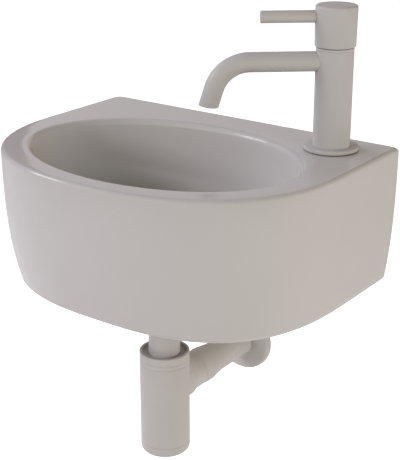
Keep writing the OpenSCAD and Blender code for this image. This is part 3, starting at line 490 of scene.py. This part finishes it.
# Outline of the fascia at a depth, drawn in by an inset, and at the wall by a back inset
def fasciaOutline(depth, inset, backInset, corner=0):
    s = basinSizes
    k = (depth / s["height"]) ** s["taperPower"]
    return planOutline(
        s["width"] - 2 * s["sideTaper"] * k - 2 * inset, s["depth"] - s["frontTaper"] * k - inset,
        s["side"] - s["sideShorter"] * k, s["fullness"] + (s["footFullness"] - s["fullness"]) * k,
        corner or max(s["cornerRound"] - inset, s["leastCorner"]), -backInset)


# From the bowl's axis to each point of the basin's outline
bowlDirections = [
    Vector((x, y - basinSizes["bowlCentre"])).normalized() for x, y in fasciaOutline(0, 0, 0)]


def levelRing(points, depth):
    return [(x * mm, y * mm, (basinSizes["deckLevel"] - depth) * mm) for x, y in points]


def circleRing(radius, depth):
    centre = basinSizes["bowlCentre"]
    return levelRing([(d.x * radius, centre + d.y * radius) for d in bowlDirections], depth)


def ellipseReach(halfWidth, halfDepth):
    return [1 / math.hypot(d.x / halfWidth, d.y / halfDepth) for d in bowlDirections]


# Points of the bowl's edge, moved outwards by a growth
def bowlEdge(growth):
    s = basinSizes
    reach = ellipseReach(s["bowlHalfWidth"] + growth, s["bowlHalfDepth"] + growth)
    return [(d.x * r, s["bowlCentre"] + d.y * r) for d, r in zip(bowlDirections, reach)]


# Ring on a bowl's surface: a circle near the waste that turns into the ellipse higher up
def bowlRing(share, circle, halfWidth, halfDepth, top, depth):
    s = basinSizes
    blend = ((1 - share) / (1 - bowlFoot)) ** 2
    ring = []
    for d, full in zip(bowlDirections, ellipseReach(halfWidth, halfDepth)):
        r = full * share * (1 - blend) + circle * blend
        fall = max(0.0, 1 - (r / full) ** s["bowlPower"]) ** (1 / s["bowlPower"])
        level = s["deckLevel"] - top - (depth - top) * fall
        ring.append((d.x * r * mm, (s["bowlCentre"] + d.y * r) * mm, level * mm))
    return ring


def shareAt(angle):
    return math.cos(angle) ** (2 / basinSizes["bowlPower"])


def angleAt(share):
    return math.acos(share ** (basinSizes["bowlPower"] / 2))


# The bowl's inside, from the waste hole up to the lip
def bowlRings():
    s, n = basinSizes, basinSteps
    rings = [circleRing(s["wasteHole"], s["recessDepth"]), circleRing(s["wasteRecess"], s["recessDepth"])]
    for i in range(n["bowl"]):
        share = shareAt(angleAt(bowlFoot) * (1 - i / n["bowl"]))
        rings.append(bowlRing(
            share, s["wasteRecess"], s["bowlHalfWidth"], s["bowlHalfDepth"], s["lip"], s["bowlDepth"]))
    for q in quarterTurn(n["lip"]):
        rings.append(levelRing(bowlEdge(s["lip"] * (1 - math.cos(q))), s["lip"] * (1 - math.sin(q))))
    return rings


# The deck, from the lip to its rounded outer edge
def deckRings():
    s, n = basinSizes, basinSteps
    inner = bowlEdge(s["lip"])
    outer = fasciaOutline(0, s["edgeRound"], s["edgeRound"], s["softCorner"])
    rings = []
    for i in range(1, n["rim"]):
        rings.append(levelRing([
            (a[0] + (b[0] - a[0]) * i / n["rim"], a[1] + (b[1] - a[1]) * i / n["rim"])
            for a, b in zip(inner, outer)], 0))
    for q in quarterTurn(n["edge"]):
        inset = s["edgeRound"] * (1 - math.sin(q))
        corner = s["cornerRound"] + (s["softCorner"] - s["cornerRound"]) * inset / s["edgeRound"]
        rings.append(levelRing(
            fasciaOutline(0, inset, inset, corner), s["edgeRound"] * (1 - math.cos(q))))
    return rings


# The fascia down to its rounded foot, and its inner face up to the deck's underside
def fasciaRings():
    s, n = basinSizes, basinSteps
    rings = []
    for i in range(1, n["fascia"] + 1):
        depth = s["edgeRound"] + (s["height"] - s["footRound"] - s["edgeRound"]) * i / n["fascia"]
        rings.append(levelRing(fasciaOutline(depth, 0, 0), depth))
    for q in quarterTurn(n["foot"], first=1):
        inset = s["footRound"] * (1 - math.cos(q))
        rings.append(levelRing(
            fasciaOutline(s["height"], inset, inset), s["height"] - s["footRound"] * (1 - math.sin(q))))
    for q in quarterTurn(n["foot"]):
        inset = s["innerFootRound"] * (1 - math.sin(q))
        rings.append(levelRing(
            fasciaOutline(s["height"], s["skirt"] - inset, s["back"] - inset),
            s["height"] - s["innerFootRound"] * (1 - math.cos(q))))
    for i in range(1, n["skirt"] + 1):
        foot = s["height"] - s["innerFootRound"]
        depth = foot - (foot - s["deck"]) * i / n["skirt"]
        rings.append(levelRing(fasciaOutline(depth, s["skirt"], s["back"]), depth))
    return rings


# The bowl's underside, from the deck down to the flat round the waste hole
def underRings():
    s, n = basinSizes, basinSteps
    halfWidth, halfDepth = s["bowlHalfWidth"] + s["bowlWall"], s["bowlHalfDepth"] + s["bowlWall"]
    bottom = s["bowlDepth"] + s["bowlFloor"]
    highest = angleAt((1 - (s["deck"] / bottom) ** s["bowlPower"]) ** (1 / s["bowlPower"]))
    rings = []
    for i in range(n["under"] + 1):
        share = shareAt(highest + (angleAt(bowlFoot) - highest) * i / n["under"])
        rings.append(bowlRing(share, s["spotFace"], halfWidth, halfDepth, 0, bottom))
    return rings + [circleRing(s["spotFace"], s["spotDepth"]), circleRing(s["wasteHole"], s["spotDepth"])]


def makeBasin():
    s = basinSizes
    holes = [pin(
        s["tapHole"], -s["deck"] - s["cutPast"], s["cutPast"],
        Matrix.Translation(Vector((s["tapX"], s["tapY"], s["deckLevel"])) * mm), turn)]
    for x in (-s["boltX"], s["boltX"]):
        holes.append(pin(
            s["boltHole"], -s["cutPast"], s["back"] + s["cutPast"],
            Matrix.Translation((x * mm, 0, 0)) @ Matrix.Rotation(math.radians(90), 4, "X"), coarseTurn))
    rings = bowlRings() + deckRings() + fasciaRings() + underRings()
    return joinOrCut(skinRings(rings, closed=True), holes, "DIFFERENCE")


addPiece(makeBasin(), "basinShell", "basin")
print("basin made")


# Tap: heights above the deck, x along the spout

spoutAzimuth = 220
tapPlace = Matrix.Translation(
    Vector((basinSizes["tapX"], basinSizes["tapY"], basinSizes["deckLevel"])) * mm) @ Matrix.Rotation(
    math.radians(spoutAzimuth), 4, "Z")
turnToX = Matrix.Rotation(math.radians(90), 4, "Y")


def addTapPiece(bm, name, node):
    bm.transform(tapPlace)
    addPiece(bm, name, node)


bodySizes = dict(
    foot=3.2, top=95.4, radius=17.8, neckRadius=15.5, neckTop=112, chamber=12, chamberFloor=62.4,
    waterway=6.5, shankTop=20.2, shank=10.5, edge=0.35, neckEdge=0.3)

s = bodySizes
addTapPiece(lathe([
    (s["shank"], s["foot"]), (s["radius"], s["foot"]), (s["radius"], s["top"], s["edge"]),
    (s["neckRadius"], s["top"]), (s["neckRadius"], s["neckTop"], s["neckEdge"]),
    (s["chamber"], s["neckTop"]), (s["chamber"], s["chamberFloor"]), (s["waterway"], s["chamberFloor"]),
    (s["waterway"], s["shankTop"]), (s["shank"], s["shankTop"])], steps=fineTurn), "tapColumn", "tap_body")

slideSizes = dict(radius=17.8, inner=15.55, bottom=95.4, top=98, footEdge=0.35, edge=0.4)

s = slideSizes
addTapPiece(lathe([
    (s["inner"], s["bottom"]), (s["radius"], s["bottom"], s["footEdge"]),
    (s["radius"], s["top"], s["edge"]), (s["inner"], s["top"])], steps=fineTurn), "columnRing", "slide_ring")

flangeSizes = dict(
    radius=26.2, seat=0.8, top=4.2, recess=3.2, bodyHole=17.85, shankHole=10.5, seatEdge=0.3, edge=1.4)

s = flangeSizes
addTapPiece(lathe([
    (s["shankHole"], s["seat"]), (s["radius"], s["seat"], s["seatEdge"]),
    (s["radius"], s["top"], s["edge"]), (s["bodyHole"], s["top"]), (s["bodyHole"], s["recess"]),
    (s["shankHole"], s["recess"])], steps=fineTurn), "tapFootRing", "tap_flange")

spoutSizes = dict(
    radius=9.4, wall=1.6, level=84.6, root=13.5, straight=79, bendRadius=34.8, bend=73, tail=17, cut=9,
    rim=0.35, sides=72, bendSteps=40, rimSteps=3)


# Tube of one radius along the spout's path, from root to tip, where the cut makes the outer side longer
def spoutTube(bm, radius):
    s = spoutSizes
    made = bmesh.ops.create_circle(bm, segments=s["sides"], radius=radius * mm)["verts"]
    bmesh.ops.transform(
        bm, matrix=Matrix.Translation(Vector((s["root"], 0, s["level"])) * mm) @ turnToX, verts=made)
    loop = pullLoop(bm, made)
    bmesh.ops.translate(bm, verts=loop, vec=((s["straight"] - s["root"]) * mm, 0, 0))
    ring = loop + [bm.edges.get((a, b)) for a, b in zip(loop, loop[1:] + loop[:1])]
    bendCentre = Vector((s["straight"], 0, s["level"] - s["bendRadius"])) * mm
    last = bmesh.ops.spin(
        bm, geom=ring, cent=bendCentre, axis=(0, 1, 0), dvec=(0, 0, 0),
        angle=math.radians(s["bend"]), steps=s["bendSteps"], use_merge=False)["geom_last"]
    edges = [g for g in last if isinstance(g, bmesh.types.BMEdge)]
    made = bmesh.ops.extrude_edge_only(bm, edges=edges)["geom"]
    tip = [g for g in made if isinstance(g, bmesh.types.BMVert)]
    angle = math.radians(s["bend"])
    flow = Vector((math.cos(angle), 0, -math.sin(angle)))
    outward = Vector((math.sin(angle), 0, math.cos(angle)))
    axisPoint = bendCentre + outward * s["bendRadius"] * mm
    for v in tip:
        extra = (v.co - axisPoint).dot(outward) * math.tan(math.radians(s["cut"]))
        v.co += flow * (s["tail"] * mm + extra)
    bmesh.ops.remove_doubles(bm, verts=bm.verts, dist=sameVertex)


def makeSpout():
    s = spoutSizes
    bm = bmesh.new()
    spoutTube(bm, s["radius"])
    spoutTube(bm, s["radius"] - s["wall"])
    openEdges = [e for e in bm.edges if e.is_boundary]
    rootEdges = [e for e in openEdges if all(abs(v.co.x - s["root"] * mm) < sameVertex for v in e.verts)]
    tipEdges = [e for e in openEdges if e not in rootEdges]
    bmesh.ops.bridge_loops(bm, edges=rootEdges)
    bmesh.ops.bridge_loops(bm, edges=tipEdges)
    bmesh.ops.bevel(
        bm, geom=[e for e in tipEdges if e.is_valid], offset=s["rim"] * mm, offset_type="OFFSET",
        segments=s["rimSteps"], profile=0.5, affect="EDGES", material=-1)
    return bm


addTapPiece(makeSpout(), "spoutTube", "spout")

knobSizes = dict(
    radius=19.2, topRadius=19.65, bottom=98.9, top=136.8, hollow=16.3, roof=119.6, splineHole=4.05,
    splineTop=126.65, footEdge=0.5, edge=2.2)

s = knobSizes
addTapPiece(lathe([
    (s["hollow"], s["bottom"]), (s["radius"], s["bottom"], s["footEdge"]),
    (s["topRadius"], s["top"], s["edge"]), (0, s["top"]), (0, s["splineTop"]),
    (s["splineHole"], s["splineTop"]), (s["splineHole"], s["roof"]), (s["hollow"], s["roof"])],
    steps=fineTurn, closed=False), "leverKnob", "handle_knob")

leverSizes = dict(radius=5.75, level=126.15, root=8, seat=12, stub=3, length=70, edge=0.5)

s = leverSizes
leverMesh = lathe([
    (0, s["root"]), (s["stub"], s["root"]), (s["stub"], s["seat"]), (s["radius"], s["seat"]),
    (s["radius"], s["length"], s["edge"]), (0, s["length"])], steps=coarseTurn, closed=False)
leverMesh.transform(Matrix.Translation((0, 0, s["level"] * mm)) @ turnToX)
addTapPiece(leverMesh, "leverPin", "lever_pin")
print("tap made")


# Waste and trap: heights from the deck, on the bowl's axis

wastePlace = Matrix.Translation(Vector((0, basinSizes["bowlCentre"], basinSizes["deckLevel"])) * mm)


def addWastePiece(bm, name, node, sharp=sharpAngle):
    bm.transform(wastePlace)
    addPiece(bm, name, node, sharp)


nutSizes = dict(radius=25, top=-131.2, floor=-154, bottom=-157, thread=21, hole=16.3, edge=1.2)

s = nutSizes
addWastePiece(lathe([
    (s["thread"], s["top"]), (s["thread"], s["floor"]), (s["hole"], s["floor"]), (s["hole"], s["bottom"]),
    (s["radius"], s["bottom"], s["edge"]), (s["radius"], s["top"], s["edge"])]), "inletNut", "inlet_nut")

pipeSizes = dict(radius=16, wall=1.5, top=-150, collar=20.45, collarFoot=-154, bottom=-304.2)

s = pipeSizes
addWastePiece(lathe([
    (s["radius"] - s["wall"], s["bottom"]), (s["radius"], s["bottom"]), (s["radius"], s["collarFoot"]),
    (s["collar"], s["collarFoot"]), (s["collar"], s["top"]), (s["radius"] - s["wall"], s["top"])]),
    "dropPipe", "drop_pipe")

ringSizes = dict(
    radius=25.4, top=-208, bottom=-220.5, inner=22.4, shelf=-210.5, shelfFoot=-212.5, hole=16.3,
    groove=0.4, grooveLevel=-216.1, footEdge=0.5, edge=0.9, innerEdge=0.5)

s = ringSizes
addWastePiece(lathe([
    (s["inner"], s["bottom"]), (s["radius"], s["bottom"], s["footEdge"]),
    (s["radius"], s["grooveLevel"] - s["groove"]), (s["radius"] - s["groove"], s["grooveLevel"]),
    (s["radius"], s["grooveLevel"] + s["groove"]), (s["radius"], s["top"], s["edge"]),
    (s["inner"], s["top"], s["innerEdge"]), (s["inner"], s["shelf"]), (s["hole"], s["shelf"]),
    (s["hole"], s["shelfFoot"]), (s["inner"], s["shelfFoot"])]), "trapRing", "trap_ring")

cupSizes = dict(
    radius=25.4, top=-220.5, bottom=-309.5, bore=23.4, neck=22.35, neckTop=-214.5, neckBore=19.35,
    shoulder=-223.5, edge=0.5, outlet=-251.7, spigot=17.2, spigotBore=16.2, spigotEnd=58, cutPast=1,
    sharp=40)
flareSizes = dict(
    start=8, end=49.7, low=17.9, high=29.4, ease=1.15, halfWidth=23.3, under=17.2, fillet=2.5,
    filletEnd=31, sides=96, steps=24)


# Ring across the outlet's way at a length: half is half its width, top and foot its reach up and down
def spigotRing(y, half, top, foot):
    angles = [2 * math.pi * i / flareSizes["sides"] for i in range(flareSizes["sides"])]
    return [(
        half * mm * math.cos(a), y * mm, ((top - foot) / 2 + (top + foot) / 2 * math.sin(a)) * mm)
        for a in angles]


# The side spigot grows out of the cup's wall: its top slopes down to the nut, and its underside is hollow
def makeSpigot():
    s, f = cupSizes, flareSizes
    lengths = [f["start"]] + [
        s["radius"] + (f["end"] - s["radius"]) * i / f["steps"] for i in range(f["steps"] + 1)]
    rings = []
    for y in lengths:
        left = min(1.0, (f["end"] - y) / (f["end"] - s["radius"]))
        under = min(1.0, max(0.0, (f["filletEnd"] - y) / (f["filletEnd"] - s["radius"])))
        top = f["low"] + (f["high"] - f["low"]) * left ** f["ease"]
        foot = f["low"] + (f["under"] - f["low"]) * left + f["fillet"] * under ** 2
        half = f["low"] + (f["halfWidth"] - f["low"]) * left ** f["ease"]
        rings.append(spigotRing(y, half, top, foot))
    for y in (f["end"], s["spigotEnd"]):
        rings.append(spigotRing(y, s["spigot"], s["spigot"], s["spigot"]))
    bm = skinRings(rings, closed=False)
    bmesh.ops.holes_fill(bm, edges=[e for e in bm.edges if e.is_boundary], sides=0)
    bmesh.ops.translate(bm, verts=bm.verts, vec=(0, 0, s["outlet"] * mm))
    return bm


outletPlace = Matrix.Translation((0, 0, cupSizes["outlet"] * mm)) @ Matrix.Rotation(math.radians(-90), 4, "X")


def makeCup():
    s = cupSizes
    cup = lathe([
        (0, s["bottom"]), (s["radius"], s["bottom"], s["edge"]), (s["radius"], s["top"], s["edge"]),
        (s["neck"], s["top"]), (s["neck"], s["neckTop"]), (0, s["neckTop"])], steps=fineTurn, closed=False)
    cup = joinOrCut(cup, [makeSpigot()], "UNION")
    onAxis = Matrix.Identity(4)
    bores = [
        pin(s["bore"], s["bottom"] - s["cutPast"], s["shoulder"], onAxis, fineTurn),
        pin(s["neckBore"], s["shoulder"] - s["cutPast"], s["neckTop"] + s["cutPast"], onAxis, turn),
        pin(s["spigotBore"], 0, s["spigotEnd"] + s["cutPast"], outletPlace, turn)]
    return joinOrCut(cup, bores, "DIFFERENCE")


addWastePiece(makeCup(), "trapCup", "trap_cup", cupSizes["sharp"])

capSizes = dict(
    radius=25.4, top=-309.5, bottom=-321.2, edge=6, topEdge=0.5, plug=23.35, plugTop=-303.5,
    plugBore=19.35, floor=-318.2)

s = capSizes
addWastePiece(lathe([
    (0, s["bottom"]), (s["radius"], s["bottom"], s["edge"]), (s["radius"], s["top"], s["topEdge"]),
    (s["plug"], s["top"]), (s["plug"], s["plugTop"]), (s["plugBore"], s["plugTop"]),
    (s["plugBore"], s["floor"]), (0, s["floor"])], closed=False), "trapCap", "trap_cap")
print("trap made")


# Outlet: lengths from the trap's axis towards the wall

def addOutletPiece(bm, name, node):
    bm.transform(outletPlace)
    addWastePiece(bm, name, node)


gripSizes = dict(
    start=50, shoulder=64, end=80, wide=18.8, swell=0.9, nose=16.8, bore=17.25, boreEnd=61,
    pipeBore=16.05, steps=14)


# The nut swells a little up to its shoulder, then narrows in a soft curve to its nose
def makeGrip():
    s = gripSizes
    profile = [(s["bore"], s["start"])]
    for i in range(s["steps"] + 1):
        t = i / s["steps"]
        profile.append((
            s["wide"] - s["swell"] * (1 - math.sin(math.pi / 2 * t)),
            s["start"] + (s["shoulder"] - s["start"]) * t))
    for i in range(1, s["steps"] + 1):
        t = i / s["steps"]
        profile.append((
            s["nose"] + (s["wide"] - s["nose"]) * (1 + math.cos(math.pi * t)) / 2,
            s["shoulder"] + (s["end"] - s["shoulder"]) * t))
    profile += [(s["pipeBore"], s["end"]), (s["pipeBore"], s["boreEnd"]), (s["bore"], s["boreEnd"])]
    return lathe(profile)


addOutletPiece(makeGrip(), "outletNut", "outlet_nut")

outletSizes = dict(radius=16, bore=14.5, start=36, wall=145.75, endRadius=15.8, end=180.75)

s = outletSizes
addOutletPiece(lathe([
    (s["bore"], s["start"]), (s["radius"], s["start"]), (s["radius"], s["wall"]),
    (s["endRadius"], s["wall"]), (s["endRadius"], s["end"]), (s["bore"], s["end"])]),
    "outletPipe", "outlet_pipe")

rosetteSizes = dict(radius=35, height=10, slope=2, edge=5, sheet=1.2, hub=19, hole=16.1, arc=75, steps=8)


# Half section of the dish, from its foot to its hub; the inner side is one sheet thickness smaller
def dishProfile(thinner):
    s = rosetteSizes
    edge = s["edge"] - thinner
    centre = (s["radius"] - s["edge"], s["height"] - s["slope"] - s["edge"])
    profile = [(s["radius"] - thinner, 0)]
    for i in range(s["steps"] + 1):
        a = math.radians(s["arc"]) * i / s["steps"]
        profile.append((centre[0] + edge * math.cos(a), centre[1] + edge * math.sin(a)))
    return profile + [(s["hub"], s["height"] - thinner), (s["hole"], s["height"] - thinner)]


dish = lathe(dishProfile(0) + dishProfile(rosetteSizes["sheet"])[::-1], steps=fineTurn)
dish.transform(Matrix.Translation((
    0, 0, (basinSizes["deckLevel"] + cupSizes["outlet"]) * mm)) @ Matrix.Rotation(math.radians(90), 4, "X"))
addPiece(dish, "wallRosette", "wall_rosette")
print("outlet and all pieces made")
